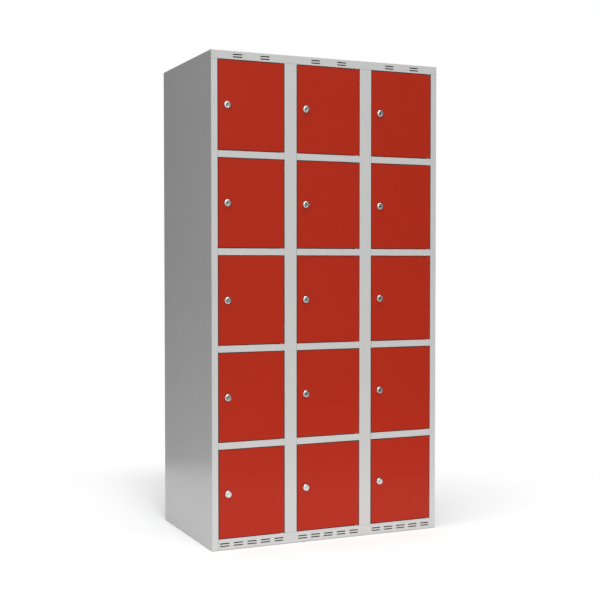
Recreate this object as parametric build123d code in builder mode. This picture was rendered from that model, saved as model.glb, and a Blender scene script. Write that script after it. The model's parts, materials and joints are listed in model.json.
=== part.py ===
"""Steel locker: three columns of five compartments, each with a flush door, pin hinges and a cam lock.

X runs to the right, Y to the back and Z up. The origin is on the floor, under the middle of the whole,
from the bezels of the locks to the back. All lengths are in millimetres.
"""

from build123d import *
import os

# Cabinet
overall_width = 900.0
overall_depth = 550.0
overall_height = 1750.0
column_letters = "abc"
row_count = 5

# Front frame
stile_width = 23.5
top_rail_height = 30.0
cross_rail_height = 24.0
base_rail_height = 40.0
lip_width = 8.0

# Sheet metal
sheet = 0.8
bend_inside = 0.6
rear_fold_width = 15.0
roof_fold_height = 15.0
shelf_fold_height = 15.0
partition_fold_width = 12.0
toe_fold_depth = 15.0
rear_air_gap = 6.0

# Vent slots, in pairs one above the other
vent_length = 36.0
vent_height = 4.0
vent_rise = 9.0
vent_margin = 5.0
base_vent_level = 19.5
top_vent_drop = 16.5
base_vent_pairs = 5
top_vent_pairs = 2
slots_in_pair = 2

# Doors
door_gap = 2.5
door_depth = 16.0
door_return_width = 12.0

# Hinges
pivot_inset = 8.0
pin_radius = 2.5
pin_reach = 5.0
pin_tip_chamfer = 0.6
pin_collar_radius = 4.2
pin_head_radius = 4.0
pin_head_height = 1.8
pin_head_clearance = 0.6

# Rubber buffers
buffer_radius = 2.4
buffer_length = 3.7
buffer_inset = 40.0
buffer_rounding = 0.8

# Locks
lock_inset = 36.0
barrel_radius = 9.5
barrel_wall = 3.0
barrel_flat_depth = 1.3
bezel_overlap = 3.0
bezel_height = 7.0
bezel_rounding = 3.4
bezel_lead_width = 0.7
bezel_lead_depth = 0.5
nut_sides = 6
nut_wall = 2.5
nut_height = 4.0
nut_chamfer = 0.8
key_slot_length = 8.4
key_slot_width = 2.2
key_slot_depth = 9.0
plug_edge_chamfer = 0.4
shank_width = 7.0
cam_gap = 0.7
cam_thickness = 2.0
cam_width = 14.0
cam_reach = 33.0
screw_radius = 2.0
screw_length = 8.0
screw_head_radius = 4.2
screw_head_height = 1.6
screw_slot_width = 1.0
screw_slot_depth = 0.8

# Fits
running_fit = 0.05
seat_gap = 0.3
overrun = 2.0

# Places worked out from the sizes above
front = (bezel_height - overall_depth) / 2
back = (bezel_height + overall_depth) / 2
back_inside = back - 2 * sheet
inner_half_width = overall_width / 2 - sheet
column_count = len(column_letters)
column_pitch = overall_width / column_count
opening_width = column_pitch - 2 * stile_width
frame_top = overall_height - top_rail_height
rail_heights = base_rail_height + (row_count - 1) * cross_rail_height
opening_height = (frame_top - rail_heights) / row_count
vent_pitch = (opening_width - 2 * vent_margin - vent_length) / (base_vent_pairs - 1)
rebate_depth = door_depth + seat_gap + buffer_length
lip_front = front + rebate_depth
lip_back = lip_front + sheet
fold_radius = bend_inside + sheet / 2
outer_bend = bend_inside + sheet
door_width = opening_width - 2 * door_gap
door_height = opening_height - 2 * door_gap
pivot_x = opening_width - door_gap - pivot_inset
pivot_setback = outer_bend + pin_head_clearance + pin_head_radius
lock_z = opening_height / 2
cam_front = rebate_depth + sheet + cam_gap
barrel_end = cam_front - seat_gap
cam_back = cam_front + cam_thickness
bezel_radius = barrel_radius + bezel_overlap
bore_radius = barrel_radius - barrel_wall
bezel_lead_radius = bore_radius + bezel_lead_width
plug_radius = bore_radius - running_fit
plug_face = bezel_height - bezel_lead_depth


def column_edge(column):
    """X of the left edge of a column. The last column's right edge is the next one."""
    return column * column_pitch - overall_width / 2


def opening_left(column):
    """X of the left side of a column's door openings."""
    return column_edge(column) + stile_width


def opening_middle(column):
    """X of the middle of a column's door openings."""
    return opening_left(column) + opening_width / 2


def opening_floor(row):
    """Z of the bottom of a row's door openings, with row 0 at the top."""
    return frame_top - (row + 1) * opening_height - row * cross_rail_height


def wall_faces(column):
    """X of the two wall faces that a column's shelves fit between."""
    left = max(column_edge(column) + sheet / 2, -inner_half_width)
    right = min(column_edge(column + 1) - sheet / 2, inner_half_width)
    return left, right


def facing(y):
    """Plane at depth y that faces the front, with X to the right and Z up."""
    return Plane.XZ.offset(-y)


def block(low, high, mode=Mode.ADD):
    """Rectangular block between two opposite corners, in the part that is being built."""
    sides = [end - start for start, end in zip(low, high)]
    with Locations(low):
        Box(*sides, align=(Align.MIN, Align.MIN, Align.MIN), mode=mode)


def folded(plane, points, start, end):
    """Sheet folded along a line through the middle of its thickness, from start to end off the plane."""
    with BuildPart() as strip:
        with BuildSketch(plane.offset(start)):
            with BuildLine():
                FilletPolyline(points, radius=fold_radius)
            trace(line_width=sheet)
        extrude(amount=end - start)
    return strip.part


def cut_vents(level, pitch, pairs):
    """Pairs of slots through the front face at one level, about the middle of every column."""
    with BuildSketch(facing(front + sheet + overrun)) as slots:
        for column in range(column_count):
            with Locations((opening_middle(column), level)):
                with GridLocations(pitch, vent_rise, pairs, slots_in_pair):
                    SlotOverall(vent_length, vent_height)
    extrude(slots.sketch, amount=sheet + 2 * overrun, mode=Mode.SUBTRACT)


def cut_pin_holes(seat, depth):
    """One hinge pin hole to a column, down from the face at seat through all that lies in that depth."""
    with BuildSketch(Plane.XY.offset(seat - depth - overrun)) as holes:
        for column in range(column_count):
            with Locations((opening_left(column) + pivot_x, front + pivot_setback)):
                Circle(pin_radius + running_fit)
    extrude(holes.sketch, amount=depth + 2 * overrun, mode=Mode.SUBTRACT)


def side_panel():
    """Left side: its front edge folds into the outer stile and the lip, its rear edge behind the back."""
    side = sheet / 2 - overall_width / 2
    stile_side = side + stile_width - sheet
    plan = [
        (side + rear_fold_width - sheet / 2, back - sheet / 2),
        (side, back - sheet / 2),
        (side, front + sheet / 2),
        (stile_side, front + sheet / 2),
        (stile_side, lip_front + sheet / 2),
        (stile_side + lip_width + sheet / 2, lip_front + sheet / 2),
    ]
    outside = -overall_width / 2 - overrun
    opening = opening_left(0)
    beyond_lip = opening + lip_width + overrun
    with BuildPart() as panel:
        add(folded(Plane.XY, plan, 0, overall_height))
        # above the stile only the side itself goes on, behind the top rail and beside the roof
        block(
            (outside, front - overrun, frame_top),
            (beyond_lip, front + sheet, overall_height + overrun),
            mode=Mode.SUBTRACT,
        )
        block(
            (-inner_half_width, front, frame_top),
            (beyond_lip, lip_back + overrun, overall_height + overrun),
            mode=Mode.SUBTRACT,
        )
        # the lip starts at the floor of the lowest opening
        block(
            (opening, front, -overrun),
            (beyond_lip, lip_back + overrun, base_rail_height),
            mode=Mode.SUBTRACT,
        )
    return panel.part


def back_panel():
    """Flat sheet between the sides' rear bends, in front of their rear folds."""
    half = inner_half_width - bend_inside
    with BuildPart() as panel:
        block((-half, back_inside, 0), (half, back - sheet, overall_height))
    return panel.part


def roof_panel():
    """Tray between the sides, whose front fold is the top rail and covers their front edges."""
    rear = back_inside - sheet / 2
    top = overall_height - sheet / 2
    section = [
        (rear, overall_height - roof_fold_height),
        (rear, top),
        (front + sheet / 2, top),
        (front + sheet / 2, frame_top + sheet / 2),
        (lip_front, frame_top + sheet / 2),
    ]
    with BuildPart() as panel:
        add(folded(Plane.YZ, section, -overall_width / 2, overall_width / 2))
        for side in (-1, 1):
            inner = side * inner_half_width
            outer = side * (overall_width / 2 + overrun)
            block(
                (min(inner, outer), front + sheet, frame_top - overrun),
                (max(inner, outer), back, overall_height + overrun),
                mode=Mode.SUBTRACT,
            )
            fold = side * (inner_half_width - sheet)
            block(
                (min(inner, fold), front + sheet, overall_height - roof_fold_height),
                (max(inner, fold), back_inside - sheet, overall_height - sheet / 2),
            )
        cut_vents(overall_height - top_vent_drop, 2 * vent_pitch, top_vent_pairs)
        cut_pin_holes(frame_top + sheet, sheet)
    return panel.part


def base_panel():
    """Upturned tray under the lowest compartments, whose front fold is the base rail."""
    rear = back_inside - sheet / 2
    floor = base_rail_height - sheet / 2
    section = [
        (front + toe_fold_depth, sheet / 2),
        (front + sheet / 2, sheet / 2),
        (front + sheet / 2, floor),
        (rear, floor),
        (rear, 0),
    ]
    with BuildPart() as panel:
        add(folded(Plane.YZ, section, -inner_half_width, inner_half_width))
        for side in (-1, 1):
            inner = side * (overall_width / 2 - stile_width)
            outer = side * (overall_width / 2)
            block(
                (min(inner, outer), front - overrun, -overrun),
                (max(inner, outer), lip_back, base_rail_height + overrun),
                mode=Mode.SUBTRACT,
            )
            face = side * inner_half_width
            fold = side * (inner_half_width - sheet)
            block((min(face, fold), lip_back, 0), (max(face, fold), back_inside - sheet, floor))
        cut_vents(base_vent_level, vent_pitch, base_vent_pairs)
        cut_pin_holes(base_rail_height, sheet)
    return panel.part


def partition(edge):
    """Wall between two columns, folded at the front inside the stile and at the rear along the back."""
    front_fold = front + sheet + sheet / 2
    rear_fold = back_inside - sheet / 2
    plan = [
        (edge + partition_fold_width, front_fold),
        (edge, front_fold),
        (edge, rear_fold),
        (edge + partition_fold_width, rear_fold),
    ]
    left = edge - sheet
    right = edge + partition_fold_width + overrun
    roof_fold = back_inside - sheet - bend_inside
    with BuildPart() as wall:
        add(folded(Plane.XY, plan, base_rail_height, overall_height - sheet))
        # notches around the top rail and the roof's rear fold
        block((left, front, frame_top), (right, lip_front, overall_height), mode=Mode.SUBTRACT)
        block(
            (left, roof_fold, overall_height - roof_fold_height),
            (right, back, overall_height),
            mode=Mode.SUBTRACT,
        )
    return wall.part


def centre_stile(edge):
    """Hat section between two columns: front face, returns, and a lip behind the doors on each side."""
    half = stile_width - sheet / 2
    lip_end = stile_width + lip_width
    face = front + sheet / 2
    lip = lip_front + sheet / 2
    plan = [
        (edge - lip_end, lip),
        (edge - half, lip),
        (edge - half, face),
        (edge + half, face),
        (edge + half, lip),
        (edge + lip_end, lip),
    ]
    with BuildPart() as stile:
        add(folded(Plane.XY, plan, base_rail_height, frame_top))
    return stile.part


def cross_rails():
    """Channels between the stiles, open to the back, one under every opening but the lowest."""
    rear = lip_front - bend_inside
    with BuildPart() as rails:
        for row in range(row_count - 1):
            top = opening_floor(row)
            bottom = top - cross_rail_height
            section = [
                (rear, top - sheet / 2),
                (front + sheet / 2, top - sheet / 2),
                (front + sheet / 2, bottom + sheet / 2),
                (rear, bottom + sheet / 2),
            ]
            for column in range(column_count):
                left = opening_left(column)
                add(folded(Plane.YZ, section, left, left + opening_width))
            cut_pin_holes(top, cross_rail_height)
    return rails.part


def shelves(column):
    """Four trays behind the cross rails, folded down all round and welded to the walls and the lips."""
    left, right = wall_faces(column)
    near = lip_back + sheet / 2
    far = back_inside - rear_air_gap - sheet / 2
    with BuildPart() as trays:
        for row in range(row_count - 1):
            top = opening_floor(row)
            low = top - shelf_fold_height
            section = [(near, low), (near, top - sheet / 2), (far, top - sheet / 2), (far, low)]
            add(folded(Plane.YZ, section, left, right))
            for start in (left, right - sheet):
                block((start, near, low), (start + sheet, far, top - sheet / 2))
    return trays.part


def upper_pin():
    """Headed pin pointing up through a sheet whose face is at zero. It is hung upside down over a door."""
    tip = door_gap + sheet + pin_reach
    with BuildPart() as pin:
        with BuildSketch(Plane.XZ):
            with BuildLine():
                Polyline(
                    (0, -sheet - pin_head_height),
                    (pin_head_radius, -sheet - pin_head_height),
                    (pin_head_radius, -sheet),
                    (pin_radius, -sheet),
                    (pin_radius, tip - pin_tip_chamfer),
                    (pin_radius - pin_tip_chamfer, tip),
                    (0, tip),
                    close=True,
                )
            make_face()
        revolve(axis=Axis.Z)
    return pin.part


def lower_pin():
    """The same pin, riveted in its rail, with a collar that carries the door."""
    with BuildPart() as pin:
        add(upper_pin())
        with BuildSketch():
            Circle(pin_collar_radius)
        extrude(amount=door_gap - seat_gap)
    return pin.part


def hinge_pins():
    """Two pins to a door, up from the rail below it and down from the rail above it."""
    lower = lower_pin()
    upper = upper_pin()
    y = front + pivot_setback
    with BuildPart() as pins:
        for column in range(column_count):
            x = opening_left(column) + pivot_x
            for row in range(row_count):
                floor = opening_floor(row)
                with Locations((x, y, floor)):
                    add(lower)
                with Locations(Location((x, y, floor + opening_height), (180, 0, 0))):
                    add(upper)
    return pins.part


def door_buffers():
    """Rubber buffers on the lips at the lock side, just short of the door's rear face."""
    middle = (door_gap + lip_width) / 2
    with BuildPart() as buffers:
        with BuildSketch(facing(lip_front)):
            for column in range(column_count):
                for row in range(row_count):
                    floor = opening_floor(row)
                    x = opening_left(column) + middle
                    with Locations((x, floor + buffer_inset), (x, floor + opening_height - buffer_inset)):
                        Circle(buffer_radius)
        extrude(amount=buffer_length)
        fillet(buffers.faces().group_by(Axis.Y)[0].edges(), radius=buffer_rounding)
    return buffers.part


def door():
    """Folded pan, its front face flush with the frame, from the lower left corner of its opening."""
    middle = (opening_width / 2, opening_height / 2)
    left = door_gap
    right = opening_width - door_gap
    bottom = door_gap + sheet
    top = opening_height - door_gap - sheet
    with BuildPart() as pan:
        with BuildSketch(facing(door_depth)):
            with Locations(middle):
                RectangleRounded(door_width, door_height, outer_bend)
        extrude(amount=door_depth)
        fillet(pan.faces().sort_by(Axis.Y)[0].edges(), radius=outer_bend)
        offset(amount=-sheet, openings=pan.faces().sort_by(Axis.Y)[-1])
        # return flanges behind the two long edges
        for start in (left, right - door_return_width):
            block((start, door_depth - sheet, bottom), (start + door_return_width, door_depth, top))
        # hinge pin holes through the top and bottom flanges
        with BuildSketch(Plane.XY):
            with Locations((pivot_x, pivot_setback)):
                Circle(pin_radius + running_fit)
        extrude(amount=opening_height, mode=Mode.SUBTRACT)
        # lock hole with two flats
        with BuildSketch(facing(sheet + overrun)):
            with Locations((lock_inset, lock_z)):
                Circle(barrel_radius + running_fit)
                flats = 2 * (barrel_radius - barrel_flat_depth + running_fit)
                Rectangle(flats, 2 * barrel_radius + overrun, mode=Mode.INTERSECT)
        extrude(amount=sheet + 2 * overrun, mode=Mode.SUBTRACT)
    return pan.part


def lock_barrel():
    """Bezel with a rounded crown and a short lead-in, on a barrel with two flats, bored for the key plug."""
    with BuildPart() as barrel:
        with BuildSketch(Plane.XY.offset(lock_z)) as half_section:
            with BuildLine():
                Polyline(
                    (lock_inset + bore_radius, barrel_end),
                    (lock_inset + barrel_radius, barrel_end),
                    (lock_inset + barrel_radius, 0),
                    (lock_inset + bezel_radius, 0),
                    (lock_inset + bezel_radius, -bezel_height),
                    (lock_inset + bezel_lead_radius, -bezel_height),
                    (lock_inset + bore_radius, -plug_face),
                    close=True,
                )
            make_face()
            crown_corner = half_section.vertices().group_by(Axis.Y)[0].sort_by(Axis.X)[-1]
            fillet(crown_corner, radius=bezel_rounding)
        revolve(axis=Axis((lock_inset, 0, lock_z), (0, 1, 0)))
        for side in (-1, 1):
            flat = lock_inset + side * (barrel_radius - barrel_flat_depth)
            edge = lock_inset + side * (barrel_radius + overrun)
            block(
                (min(flat, edge), 0, lock_z - barrel_radius),
                (max(flat, edge), barrel_end + overrun, lock_z + barrel_radius),
                mode=Mode.SUBTRACT,
            )
    return barrel.part


def lock_nut():
    """Hexagon nut that clamps the barrel behind the door's face."""
    with BuildPart() as nut:
        with BuildSketch(facing(sheet + nut_height)):
            with Locations((lock_inset, lock_z)):
                RegularPolygon(barrel_radius + nut_wall, nut_sides, major_radius=False)
                Circle(barrel_radius + running_fit, mode=Mode.SUBTRACT)
        extrude(amount=nut_height)
        rear_rim = nut.faces().sort_by(Axis.Y)[-1].outer_wire().edges()
        chamfer(rear_rim, length=nut_chamfer)
    return nut.part


def key_plug():
    """Cylinder with a key slot in its face, a square shank for the cam and a hole for the screw."""
    shoulder = cam_front - running_fit
    with BuildPart() as plug:
        with BuildSketch(facing(shoulder)):
            with Locations((lock_inset, lock_z)):
                Circle(plug_radius)
        extrude(amount=shoulder + plug_face)
        chamfer(plug.faces().sort_by(Axis.Y)[0].edges(), length=plug_edge_chamfer)
        with BuildSketch(facing(cam_back)):
            with Locations((lock_inset, lock_z)):
                Rectangle(shank_width, shank_width)
        extrude(amount=cam_back - shoulder)
        with BuildSketch(facing(key_slot_depth - plug_face)):
            with Locations((lock_inset, lock_z)):
                SlotOverall(key_slot_length, key_slot_width, rotation=90)
        extrude(amount=key_slot_depth + overrun, mode=Mode.SUBTRACT)
        with BuildSketch(facing(cam_back)):
            with Locations((lock_inset, lock_z)):
                Circle(screw_radius + running_fit)
        extrude(amount=screw_length, mode=Mode.SUBTRACT)
    return plug.part


def lock_cam():
    """Flat cam on the plug's square shank, hanging down when the door is free."""
    between_ends = cam_reach - cam_width / 2
    square_hole = shank_width + 2 * running_fit
    with BuildPart() as cam:
        with BuildSketch(facing(cam_back)):
            with Locations((lock_inset, lock_z - between_ends / 2)):
                SlotCenterToCenter(between_ends, cam_width, rotation=90)
            with Locations((lock_inset, lock_z)):
                Rectangle(square_hole, square_hole, mode=Mode.SUBTRACT)
        extrude(amount=cam_thickness)
    return cam.part


def cam_screw():
    """Slotted screw in the end of the plug, whose head holds the cam."""
    head_face = cam_back + running_fit
    head_top = head_face + screw_head_height
    with BuildPart() as screw:
        with BuildSketch(facing(head_face)):
            with Locations((lock_inset, lock_z)):
                Circle(screw_radius)
        extrude(amount=screw_length)
        with BuildSketch(facing(head_top)):
            with Locations((lock_inset, lock_z)):
                Circle(screw_head_radius)
        extrude(amount=screw_head_height)
        with BuildSketch(facing(head_top)):
            with Locations((lock_inset, lock_z)):
                Rectangle(2 * screw_head_radius, screw_slot_width)
        extrude(amount=screw_slot_depth, mode=Mode.SUBTRACT)
    return screw.part


def save(name, piece):
    """Label a finished piece and write its file."""
    piece.label = name
    export_step(piece, f"parts/{name}.step")


def save_carcase():
    """The welded cabinet with its hinge pins and buffers."""
    left_side = side_panel()
    with BuildPart() as right_side:
        mirror(left_side, about=Plane.YZ)
    save("side_panel_left", left_side)
    save("side_panel_right", right_side.part)
    save("back_panel", back_panel())
    save("roof_panel", roof_panel())
    save("base_panel", base_panel())
    for column in range(1, column_count):
        between = column_letters[column - 1] + column_letters[column]
        save(f"partition_{between}", partition(column_edge(column)))
        save(f"stile_{between}", centre_stile(column_edge(column)))
    save("cross_rails", cross_rails())
    for column, letter in enumerate(column_letters):
        save(f"shelves_{letter}", shelves(column))
    save("hinge_pins", hinge_pins())
    save("door_buffers", door_buffers())


def save_doors():
    """Every door with its lock, each moved from the first opening's corner to its own."""
    groups = {
        "door": [door()],
        "lock_barrel": [lock_barrel(), lock_nut()],
        "lock_cam": [key_plug(), lock_cam(), cam_screw()],
    }
    for column, letter in enumerate(column_letters):
        for row in range(row_count):
            for name, pieces in groups.items():
                with BuildPart() as placed:
                    with Locations((opening_left(column), front, opening_floor(row))):
                        for piece in pieces:
                            add(piece)
                save(f"{name}_{letter}{row + 1}", placed.part)


os.makedirs("parts", exist_ok=True)
save_carcase()
save_doors()
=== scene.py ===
"""Looks of the steel locker: powder-coated sheets, chrome locks, pale studio floor and soft light."""

import json
import math

import bmesh
import bpy
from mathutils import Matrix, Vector

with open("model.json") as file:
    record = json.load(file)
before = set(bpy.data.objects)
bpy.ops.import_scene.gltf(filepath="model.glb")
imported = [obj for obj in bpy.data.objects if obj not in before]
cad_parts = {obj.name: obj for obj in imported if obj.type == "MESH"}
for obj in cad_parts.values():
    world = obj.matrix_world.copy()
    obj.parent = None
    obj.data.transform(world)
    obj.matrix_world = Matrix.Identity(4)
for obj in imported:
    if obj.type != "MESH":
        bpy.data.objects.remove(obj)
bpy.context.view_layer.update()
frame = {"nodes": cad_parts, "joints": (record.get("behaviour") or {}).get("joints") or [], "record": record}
nodes = frame["nodes"]
scene = bpy.context.scene

# Camera: place in metres, lens and sensor in millimetres
camera_place = (-1.7912, -4.0408, 1.0131)
camera_yaw = math.radians(23.992)
camera_pitch = math.radians(1.873)
camera_lens = 68.857
sensor_width = 36.0

# Colours, as linear values
grey_coat = (0.545, 0.553, 0.545, 1.0)
# The thin colours are painted highlights on the bends, where the coat is also thinner
grey_coat_thin_highlight = (0.640, 0.648, 0.640, 1.0)
red_coat = (0.400, 0.0240, 0.0100, 1.0)
red_coat_thin_highlight = (0.480, 0.0400, 0.0170, 1.0)
dust_colour = (0.420, 0.410, 0.390, 1.0)
# Near-black of the painted shade in crevices, with dirt
shade_and_grime_colour = (0.045, 0.042, 0.038, 1.0)
chrome_colour = (0.660, 0.662, 0.665, 1.0)
chrome_worn = (0.500, 0.500, 0.490, 1.0)
zinc_colour = (0.560, 0.565, 0.570, 1.0)
zinc_dull = (0.400, 0.400, 0.390, 1.0)
rubber_colour = (0.022, 0.022, 0.023, 1.0)
rubber_bloom = (0.060, 0.060, 0.062, 1.0)
full_white = (1.0, 1.0, 1.0, 1.0)

# Noises: cycles in a metre, octaves, and the weight of each finer octave
peel_noise = (420.0, 1.5, 0.5)
grain_noise = (2600.0, 2.0, 0.5)
drift_noise = (2.6, 3.0, 0.55)
cloud_noise = (34.0, 3.0, 0.6)
sag_noise = (5.0, 1.0, 0.5)
dust_noise = (7.0, 2.0, 0.5)
grime_noise = (150.0, 4.0, 0.6)
print_noise = (120.0, 5.0, 0.6)
smear_noise = (260.0, 4.0, 0.6)
zinc_noise = (420.0, 5.0, 0.65)
zinc_grain_noise = (3000.0, 3.0, 0.5)
rubber_grain_noise = (2200.0, 3.0, 0.5)
wear_octaves = 4.0
wear_fineness = 0.65

# Every finish: refraction, plain sheen, and rays cast for the mask of the bends and for the painted crevice
# shade with its dirt
surface_ior = 1.5
plain_sheen = 0.5
bend_samples = 6
crevice_shade_samples = 8

# Powder coat: lengths in metres, the rest as shares
coat_roughness = 0.25
gloss_drift = 0.06
grey_sheen = 0.5
red_sheen = 0.12
grey_dust = 0.15
red_dust = 0.05
shade_low = 0.975
shade_high = 1.02
# How far the bends go towards the thin colour: a painted highlight, where the coat is also thinner
thin_highlight_on_bends = 0.45
coat_relief = 0.00003
coat_bend = 0.0012
coat_wear_patches = 70.0
# Painted shade with dirt in gaps, slots and inner corners: its reach and its strength
coat_shade_reach = 0.010
coat_shade_and_grime = 0.75
grime_roughness = 0.4

# Prints of hands around the locks, by distance from a lock's axis and depth behind its front, in metres
print_starts = 0.015
print_ends = 0.070
print_depth = 0.004
print_roughness = 0.05

# Chrome of the locks, with lathe rings and a rolled thread: lengths in metres, heights as shares of the relief
chrome_roughness = 0.12
polish_low = 0.07
polish_high = 0.19
chrome_bend = 0.0005
chrome_wear_patches = 900.0
chrome_wear = 0.35
chrome_wear_roughness = 0.3
ring_pitch = 0.00035
ring_height = 0.02
thread_pitch = 0.001
thread_height = 0.5
thread_starts = 0.0010
thread_inner = 0.0085
thread_outer = 0.0096
chrome_relief = 0.0003

# Zinc of the hinge pins: lengths in metres, the rest as shares
zinc_roughness = 0.35
zinc_bright_roughness = 0.24
zinc_dull_roughness = 0.5
zinc_dull_starts = 0.35
zinc_dull_full = 0.7
zinc_bend = 0.0004
zinc_wear_patches = 1200.0
zinc_rubbed = -0.1
# Painted shade with dirt where a pin meets its hole: its reach and its strength
zinc_shade_reach = 0.006
zinc_shade_and_grime = 0.85
zinc_grime_roughness = 0.3
zinc_relief = 0.00004

# Rubber of the buffers: lengths in metres, the rest as shares
rubber_roughness = 0.75
rubber_smooth = 0.62
rubber_matte = 0.88
rubber_bend = 0.0008
rubber_wear_patches = 600.0
rubber_bloom_on_rims = 0.5
rubber_bloom_in_grain = 0.3
rubber_relief = 0.00006

# Studio: lengths in metres
floor_radius = 1.6
floor_sides = 128
floor_colour = (0.94, 0.94, 0.94, 1.0)
fade_starts = 1.10
fade_ends = 1.56
world_fill = 0.344
card_roughness = 0.9

# Lamps: place, aim, side, and power in watts
softboxes = {
    "key_softbox": ((-1.4, -7.6, 4.6), (0.0, 0.0, 0.9), 3.6, 397.0),
    "top_softbox": ((-0.75, -0.9, 8.8), (-0.15, -0.3, 0.0), 6.0, 590.0),
}

# Upright cards: shade, where the foot starts and ends in X and Y, and heights of the lower and upper edge
cards = {
    "left_card": (0.05, (-2.2, 0.3), (-2.2, 9.0), -2.0, 5.0),
    "side_card": (0.14, (3.4, -7.0), (3.4, 0.4), -3.0, 5.0),
    "right_card": (0.50, (0.6, -8.6), (9.0, -8.6), -3.0, 6.0),
}

# Sockets of the colour mix, which share their names with those of the other kinds
MIX_SHARE = 0
MIX_FIRST = 6
MIX_SECOND = 7
MIX_RESULT = 2


def put(tree, kind, inputs=None, **settings):
    """Add a node with its settings. Each input is a value, or an output socket to link from."""
    made = tree.nodes.new(kind)
    for name, value in settings.items():
        setattr(made, name, value)
    for socket, value in (inputs or {}).items():
        if isinstance(value, bpy.types.NodeSocket):
            tree.links.new(value, made.inputs[socket])
        else:
            made.inputs[socket].default_value = value
    return made


def calc(tree, operation, first, second=0.0, third=0.0):
    """One step of arithmetic, as the socket that holds its result."""
    return put(tree, "ShaderNodeMath", {0: first, 1: second, 2: third}, operation=operation).outputs[0]


def times(tree, first, second):
    """Product of two values."""
    return calc(tree, "MULTIPLY", first, second)


def add_share(tree, value, share, base):
    """Base plus a share of the value."""
    return calc(tree, "MULTIPLY_ADD", value, share, base)


def ramp(tree, value, starts, ends, low=0.0, high=1.0):
    """Low where the value is at starts, high where it is at ends, and even beyond them."""
    inputs = {"Value": value, "From Min": starts, "From Max": ends, "To Min": low, "To Max": high}
    return put(tree, "ShaderNodeMapRange", inputs).outputs["Result"]


def spread(tree, value, low, high):
    """Stretch a value from 0..1 to low..high."""
    return ramp(tree, value, 0.0, 1.0, low, high)


def blend_colours(tree, share, first, second):
    """First colour where share is 0 and second where it is 1."""
    inputs = {MIX_SHARE: share, MIX_FIRST: first, MIX_SECOND: second}
    return put(tree, "ShaderNodeMix", inputs, data_type="RGBA").outputs[MIX_RESULT]


def own_place(tree):
    """Place in the locker's own coordinates, which a moving piece takes along."""
    return put(tree, "ShaderNodeTexCoord").outputs["Object"]


def noise(tree, scale, octaves, fineness):
    """Cloudy noise in the locker's own coordinates, from 0 to 1."""
    inputs = {"Vector": own_place(tree), "Scale": scale, "Detail": octaves, "Roughness": fineness}
    return put(tree, "ShaderNodeTexNoise", inputs).outputs["Fac"]


def effect(name, inputs, outputs):
    """Empty node group with named sockets, and its input sockets and output node."""
    tree = bpy.data.node_groups.new(name, "ShaderNodeTree")
    for socket, start in inputs.items():
        tree.interface.new_socket(socket, in_out="INPUT", socket_type="NodeSocketFloat").default_value = start
    for socket in outputs:
        tree.interface.new_socket(socket, in_out="OUTPUT", socket_type="NodeSocketFloat")
    return tree, put(tree, "NodeGroupInput").outputs, put(tree, "NodeGroupOutput")


def give(tree, result, **values):
    """Link values to the outputs of an effect."""
    for name, value in values.items():
        tree.links.new(value, result.inputs[name])


def use(tree, group, **values):
    """Place an effect in a material. Its sockets are named in plain words with underscores for spaces."""
    made = tree.nodes.new("ShaderNodeGroup")
    made.node_tree = group
    for name, value in values.items():
        made.inputs[name.replace("_", " ")].default_value = value
    return made.outputs


def make_powder_skin():
    """Skin of a coated sheet: orange peel, fine grain and a slight sag, and how its shade and gloss drift."""
    peel_scale, *peel_shape = peel_noise
    grain_scale, *grain_shape = grain_noise
    starts = {"Peel Scale": peel_scale, "Grain Scale": grain_scale}
    tree, given, result = effect("powder_skin", starts, ("Height", "Shade", "Gloss"))
    peel = noise(tree, given["Peel Scale"], *peel_shape)
    grain = noise(tree, given["Grain Scale"], *grain_shape)
    drift = noise(tree, *drift_noise)
    cloud = noise(tree, *cloud_noise)
    sag = noise(tree, *sag_noise)
    sag_height = 10.0
    grain_height = 0.22
    height = add_share(tree, sag, sag_height, add_share(tree, grain, grain_height, peel))
    cloud_in_shade = 0.4
    shade = add_share(tree, cloud, cloud_in_shade, times(tree, drift, 1.0 - cloud_in_shade))
    grain_in_gloss = 0.25
    gloss = add_share(tree, grain, grain_in_gloss, times(tree, cloud, 1.0 - grain_in_gloss))
    give(tree, result, Height=height, Shade=shade, Gloss=gloss)
    return tree


def make_edge_wear():
    """Mask of the edges and bends, broken up as wear is: 1 on a sharp edge and 0 on a flat."""
    starts = {"Radius": coat_bend, "Reach": 1.0, "Patches": coat_wear_patches}
    tree, given, result = effect("edge_wear", starts, ("Edge", "Wear"))
    soft = put(tree, "ShaderNodeBevel", {"Radius": given["Radius"]}, samples=bend_samples).outputs["Normal"]
    flat = put(tree, "ShaderNodeNewGeometry").outputs["Normal"]
    facing = put(tree, "ShaderNodeVectorMath", {0: soft, 1: flat}, operation="DOT_PRODUCT").outputs["Value"]
    turned = calc(tree, "SUBTRACT", 1.0, facing)
    least_turn = 0.01
    full_turn = 0.22
    edge = ramp(tree, turned, least_turn, full_turn, 0.0, given["Reach"])
    patch = noise(tree, given["Patches"], wear_octaves, wear_fineness)
    bare_starts = 0.42
    bare_full = 0.66
    broken = ramp(tree, patch, bare_starts, bare_full)
    give(tree, result, Edge=edge, Wear=times(tree, edge, broken))
    return tree


def make_settled_dust():
    """Thin dust on what faces up, a little thicker in soft patches."""
    tree, given, result = effect("settled_dust", {"Amount": grey_dust}, ("Dust",))
    normal = put(tree, "ShaderNodeNewGeometry").outputs["Normal"]
    upward = put(tree, "ShaderNodeSeparateXYZ", {"Vector": normal}).outputs["Z"]
    steepest = 0.55
    level = ramp(tree, upward, steepest, 1.0)
    thinnest = 0.55
    patch = spread(tree, noise(tree, *dust_noise), thinnest, 1.0)
    film = times(tree, level, patch)
    give(tree, result, Dust=times(tree, film, given["Amount"]))
    return tree


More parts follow.
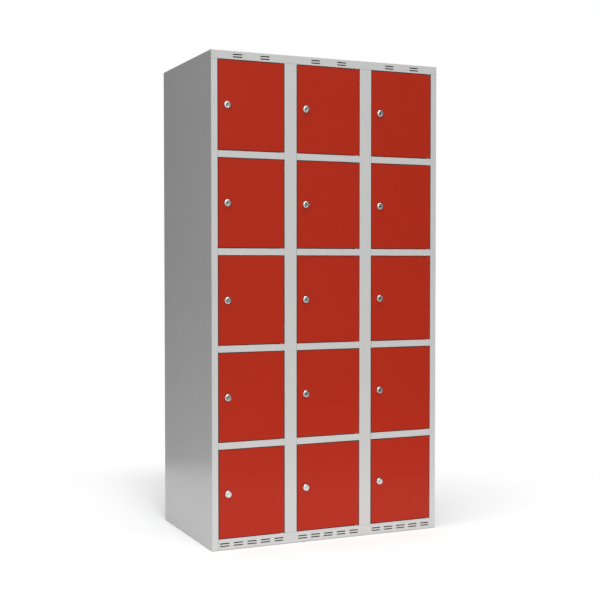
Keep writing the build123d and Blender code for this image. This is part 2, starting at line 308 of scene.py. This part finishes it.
def make_crevice_shade_and_grime():
    """Painted shade in slots, gaps and inner corners, from ambient occlusion and broken into patches of dirt:
    0 on an open face, and the amount deep inside.
    """
    starts = {"Reach": coat_shade_reach, "Amount": coat_shade_and_grime}
    tree, given, result = effect("crevice_shade_and_grime", starts, ("Grime",))
    around = put(tree, "ShaderNodeAmbientOcclusion", {"Distance": given["Reach"]}, samples=crevice_shade_samples)
    open_sky = 0.80
    shut_sky = 0.30
    shut = ramp(tree, around.outputs["AO"], open_sky, shut_sky)
    thinnest = 0.6
    patch = spread(tree, noise(tree, *grime_noise), thinnest, 1.0)
    film = times(tree, shut, patch)
    give(tree, result, Grime=times(tree, film, given["Amount"]))
    return tree


def from_nearest(tree, value, first, step):
    """How far the value is past the nearest of a row of axes, one step apart, of which first is one."""
    within = calc(tree, "WRAP", value, first + step / 2, first - step / 2)
    return calc(tree, "SUBTRACT", within, first)


def make_lock_rings():
    """Distances from the nearest lock's axis and front, and the lathe's rings and the thread around it."""
    axes = {joint["name"]: Vector(joint["pos_m"]) for joint in frame["joints"]}
    first = axes["lock_a5_turn"]
    column_step = axes["lock_b5_turn"].x - first.x
    row_step = axes["lock_a4_turn"].z - first.z
    results = ("Distance", "Depth", "Rings", "Thread")
    tree, given, result = effect("lock_rings", {"Ring Pitch": ring_pitch}, results)
    split = put(tree, "ShaderNodeSeparateXYZ", {"Vector": own_place(tree)}).outputs
    across = from_nearest(tree, split["X"], first.x, column_step)
    up = from_nearest(tree, split["Z"], first.z, row_step)
    distance = calc(tree, "SQRT", calc(tree, "MULTIPLY_ADD", across, across, times(tree, up, up)))
    depth = calc(tree, "SUBTRACT", split["Y"], first.y)
    turns = calc(tree, "DIVIDE", times(tree, distance, math.tau), given["Ring Pitch"])
    rings = spread(tree, calc(tree, "SINE", turns), 0.0, 1.0)
    thread = calc(tree, "SINE", times(tree, depth, math.tau / thread_pitch))
    behind = calc(tree, "GREATER_THAN", depth, thread_starts)
    inside = calc(tree, "LESS_THAN", distance, thread_outer)
    outside = calc(tree, "GREATER_THAN", distance, thread_inner)
    threaded = times(tree, times(tree, behind, inside), outside)
    give(tree, result, Distance=distance, Depth=depth, Rings=rings, Thread=times(tree, thread, threaded))
    return tree


powder_skin = make_powder_skin()
edge_wear = make_edge_wear()
settled_dust = make_settled_dust()
crevice_shade_and_grime = make_crevice_shade_and_grime()
lock_rings = make_lock_rings()


def new_finish(name, roughness, metallic=0.0, sheen=plain_sheen):
    """Material with a Principled shader, whose even values are set on its own sockets."""
    finish = bpy.data.materials.new(name)
    finish.use_nodes = True
    shader = finish.node_tree.nodes["Principled BSDF"]
    shader.inputs["Roughness"].default_value = roughness
    shader.inputs["Metallic"].default_value = metallic
    shader.inputs["IOR"].default_value = surface_ior
    shader.inputs["Specular IOR Level"].default_value = sheen
    return finish, finish.node_tree, shader


def wire(tree, shader, colour, roughness, height, relief):
    """Link a finish's values to its shader. The relief is the real depth of the height, in metres."""
    bump = put(tree, "ShaderNodeBump", {"Height": height, "Distance": relief, "Strength": 1.0})
    tree.links.new(colour, shader.inputs["Base Color"])
    tree.links.new(roughness, shader.inputs["Roughness"])
    tree.links.new(bump.outputs["Normal"], shader.inputs["Normal"])


def handled_patches(tree):
    """Prints of hands on the front, around each lock."""
    lock = use(tree, lock_rings)
    near = ramp(tree, lock["Distance"], print_starts, print_ends, 1.0, 0.0)
    touched = times(tree, near, calc(tree, "LESS_THAN", lock["Depth"], print_depth))
    return times(tree, touched, noise(tree, *print_noise))


def powder_coat(name, colour, thin_highlight_colour, sheen, dust):
    """Baked powder coat: lighter on the bends, a painted highlight where the coat is also thinner, with dust
    on top, painted shade and dirt in gaps, and prints at the locks.
    """
    finish, tree, shader = new_finish(name, coat_roughness, sheen=sheen)
    skin = use(tree, powder_skin)
    edges = use(tree, edge_wear, Radius=coat_bend, Patches=coat_wear_patches)
    film = use(tree, settled_dust, Amount=dust)["Dust"]
    shade_and_grime = use(tree, crevice_shade_and_grime, Reach=coat_shade_reach, Amount=coat_shade_and_grime)["Grime"]
    shade_starts = 0.3
    shade_ends = 0.7
    shade = ramp(tree, skin["Shade"], shade_starts, shade_ends, shade_low, shade_high)
    toned = put(tree, "ShaderNodeVectorMath", {0: colour[:3], "Scale": shade}, operation="SCALE").outputs[0]
    # Painted highlight on the bends, where the coat is also thinner
    bends = blend_colours(tree, times(tree, edges["Edge"], thin_highlight_on_bends), toned, thin_highlight_colour)
    dusty = blend_colours(tree, film, bends, dust_colour)
    # The colour goes near-black in gaps, slots and corners: painted shade, with dirt
    soiled_and_shaded = blend_colours(tree, shade_and_grime, dusty, shade_and_grime_colour)
    satin = spread(tree, skin["Gloss"], coat_roughness - gloss_drift, coat_roughness + gloss_drift)
    handled = add_share(tree, handled_patches(tree), print_roughness, satin)
    roughness = add_share(tree, shade_and_grime, grime_roughness, handled)
    wire(tree, shader, soiled_and_shaded, roughness, skin["Height"], coat_relief)
    return finish


def chrome_plate(name):
    """Chrome on turned brass: faint lathe rings, a rolled thread on the barrel, and worn high spots."""
    finish, tree, shader = new_finish(name, chrome_roughness, metallic=1.0)
    lock = use(tree, lock_rings)
    edges = use(tree, edge_wear, Radius=chrome_bend, Patches=chrome_wear_patches)
    worn = times(tree, edges["Wear"], chrome_wear)
    colour = blend_colours(tree, worn, chrome_colour, chrome_worn)
    polish = spread(tree, noise(tree, *smear_noise), polish_low, polish_high)
    roughness = add_share(tree, worn, chrome_wear_roughness, polish)
    height = add_share(tree, lock["Thread"], thread_height, times(tree, lock["Rings"], ring_height))
    wire(tree, shader, colour, roughness, height, chrome_relief)
    return finish


def zinc_plate(name):
    """Bright zinc on steel, dulled in clouds, with painted shade and dirt where a pin meets its hole."""
    finish, tree, shader = new_finish(name, zinc_roughness, metallic=1.0)
    cloud = noise(tree, *zinc_noise)
    edges = use(tree, edge_wear, Radius=zinc_bend, Patches=zinc_wear_patches)
    shade_and_grime = use(tree, crevice_shade_and_grime, Reach=zinc_shade_reach, Amount=zinc_shade_and_grime)["Grime"]
    dull = ramp(tree, cloud, zinc_dull_starts, zinc_dull_full)
    plated = blend_colours(tree, dull, zinc_colour, zinc_dull)
    # The zinc goes near-black where the pin meets its hole: painted shade, with dirt
    colour = blend_colours(tree, shade_and_grime, plated, shade_and_grime_colour)
    clouded = spread(tree, cloud, zinc_bright_roughness, zinc_dull_roughness)
    rubbed = add_share(tree, edges["Edge"], zinc_rubbed, clouded)
    roughness = add_share(tree, shade_and_grime, zinc_grime_roughness, rubbed)
    wire(tree, shader, colour, roughness, noise(tree, *zinc_grain_noise), zinc_relief)
    return finish


def moulded_rubber(name):
    """Black rubber with a fine matte grain and a pale bloom on its rims."""
    finish, tree, shader = new_finish(name, rubber_roughness)
    grain = noise(tree, *rubber_grain_noise)
    edges = use(tree, edge_wear, Radius=rubber_bend, Patches=rubber_wear_patches)
    in_grain = times(tree, grain, rubber_bloom_in_grain)
    bloom = add_share(tree, edges["Edge"], rubber_bloom_on_rims, in_grain)
    colour = blend_colours(tree, bloom, rubber_colour, rubber_bloom)
    wire(tree, shader, colour, spread(tree, grain, rubber_smooth, rubber_matte), grain, rubber_relief)
    return finish


def dress_nodes():
    """Give every node of the locker the finish of its own material slot."""
    finishes = {
        "grey_enamel": powder_coat("grey_powder_coat", grey_coat, grey_coat_thin_highlight, grey_sheen, grey_dust),
        "red_enamel": powder_coat("red_powder_coat", red_coat, red_coat_thin_highlight, red_sheen, red_dust),
        "chrome": chrome_plate("lock_chrome"),
        "zinc_plated_steel": zinc_plate("pin_zinc"),
        "rubber": moulded_rubber("buffer_rubber"),
    }
    for entry in frame["record"]["subparts"]:
        for spot in nodes[entry["node"]].material_slots:
            spot.material = finishes[entry["material_slot"]]


def seen_ray(tree):
    """1 for what the camera sees straight, in a reflection or through glass, and 0 for light on a surface."""
    path = put(tree, "ShaderNodeLightPath").outputs
    either = calc(tree, "MAXIMUM", path["Is Camera Ray"], path["Is Glossy Ray"])
    return calc(tree, "MAXIMUM", either, path["Is Transmission Ray"])


def add_object(name, data):
    """Put an object with this data into the scene."""
    made = bpy.data.objects.new(name, data)
    scene.collection.objects.link(made)
    return made


def make_paper():
    """Matte pale paper, which is seen as white towards the floor's rim."""
    paper = bpy.data.materials.new("studio_paper")
    paper.use_nodes = True
    tree = paper.node_tree
    tree.nodes.clear()
    matte = put(tree, "ShaderNodeBsdfDiffuse", {"Color": floor_colour})
    inputs = {0: own_place(tree)}
    reach = put(tree, "ShaderNodeVectorMath", inputs, operation="LENGTH").outputs["Value"]
    rim = ramp(tree, reach, fade_starts, fade_ends)
    white = put(tree, "ShaderNodeEmission", {"Strength": 1.0})
    share = times(tree, seen_ray(tree), rim)
    whole = put(tree, "ShaderNodeMixShader", {0: share, 1: matte.outputs[0], 2: white.outputs[0]})
    put(tree, "ShaderNodeOutputMaterial", {"Surface": whole.outputs[0]})
    return paper


def add_floor():
    """Round pale floor, which keeps the locker's shadow and, where it is seen, fades to white at its edge."""
    mesh = bpy.data.meshes.new("studio_floor")
    made = bmesh.new()
    bmesh.ops.create_circle(made, cap_ends=True, segments=floor_sides, radius=floor_radius)
    made.to_mesh(mesh)
    made.free()
    floor = add_object("studio_floor", mesh)
    mesh.materials.append(make_paper())


def add_world():
    """White behind everything that is seen, and a weaker even light on what it falls on."""
    world = bpy.data.worlds.new("studio")
    world.use_nodes = True
    scene.world = world
    tree = world.node_tree
    tree.nodes.clear()
    fill = put(tree, "ShaderNodeBackground", {"Color": full_white, "Strength": world_fill})
    white = put(tree, "ShaderNodeBackground", {"Color": full_white, "Strength": 1.0})
    mix = put(tree, "ShaderNodeMixShader", {0: seen_ray(tree), 1: fill.outputs[0], 2: white.outputs[0]})
    put(tree, "ShaderNodeOutputWorld", {"Surface": mix.outputs[0]})


def add_softbox(name, place, aim, side, power):
    """Square soft lamp that isn't seen itself."""
    light = bpy.data.lights.new(name, "AREA")
    light.shape = "RECTANGLE"
    light.size = side
    light.size_y = side
    light.energy = power
    lamp = add_object(name, light)
    lamp.location = place
    lamp.rotation_euler = (Vector(aim) - Vector(place)).to_track_quat("-Z", "Y").to_euler()
    lamp.visible_camera = False


def add_card(name, shade, start, end, lower, upper):
    """Matte upright card outside the picture, which gives the sheets and the chrome something to reflect."""
    mesh = bpy.data.meshes.new(name)
    corners = [(*start, lower), (*end, lower), (*end, upper), (*start, upper)]
    mesh.from_pydata(corners, [], [(0, 1, 2, 3)])
    card = add_object(name, mesh)
    felt, _, shader = new_finish(name + "_felt", card_roughness)
    shader.inputs["Base Color"].default_value = (shade, shade, shade, 1.0)
    mesh.materials.append(felt)
    card.visible_camera = False


def add_camera():
    """Camera at the photograph's place, turned from straight back towards the right and a little down."""
    data = bpy.data.cameras.new("camera")
    data.sensor_width = sensor_width
    data.lens = camera_lens
    camera = add_object("camera", data)
    camera.location = camera_place
    camera.rotation_euler = (math.pi / 2 - camera_pitch, 0.0, -camera_yaw)
    scene.camera = camera


add_camera()
dress_nodes()
add_floor()
add_world()
for name, settings in softboxes.items():
    add_softbox(name, *settings)
for name, settings in cards.items():
    add_card(name, *settings)

scene.view_settings.view_transform = "Standard"
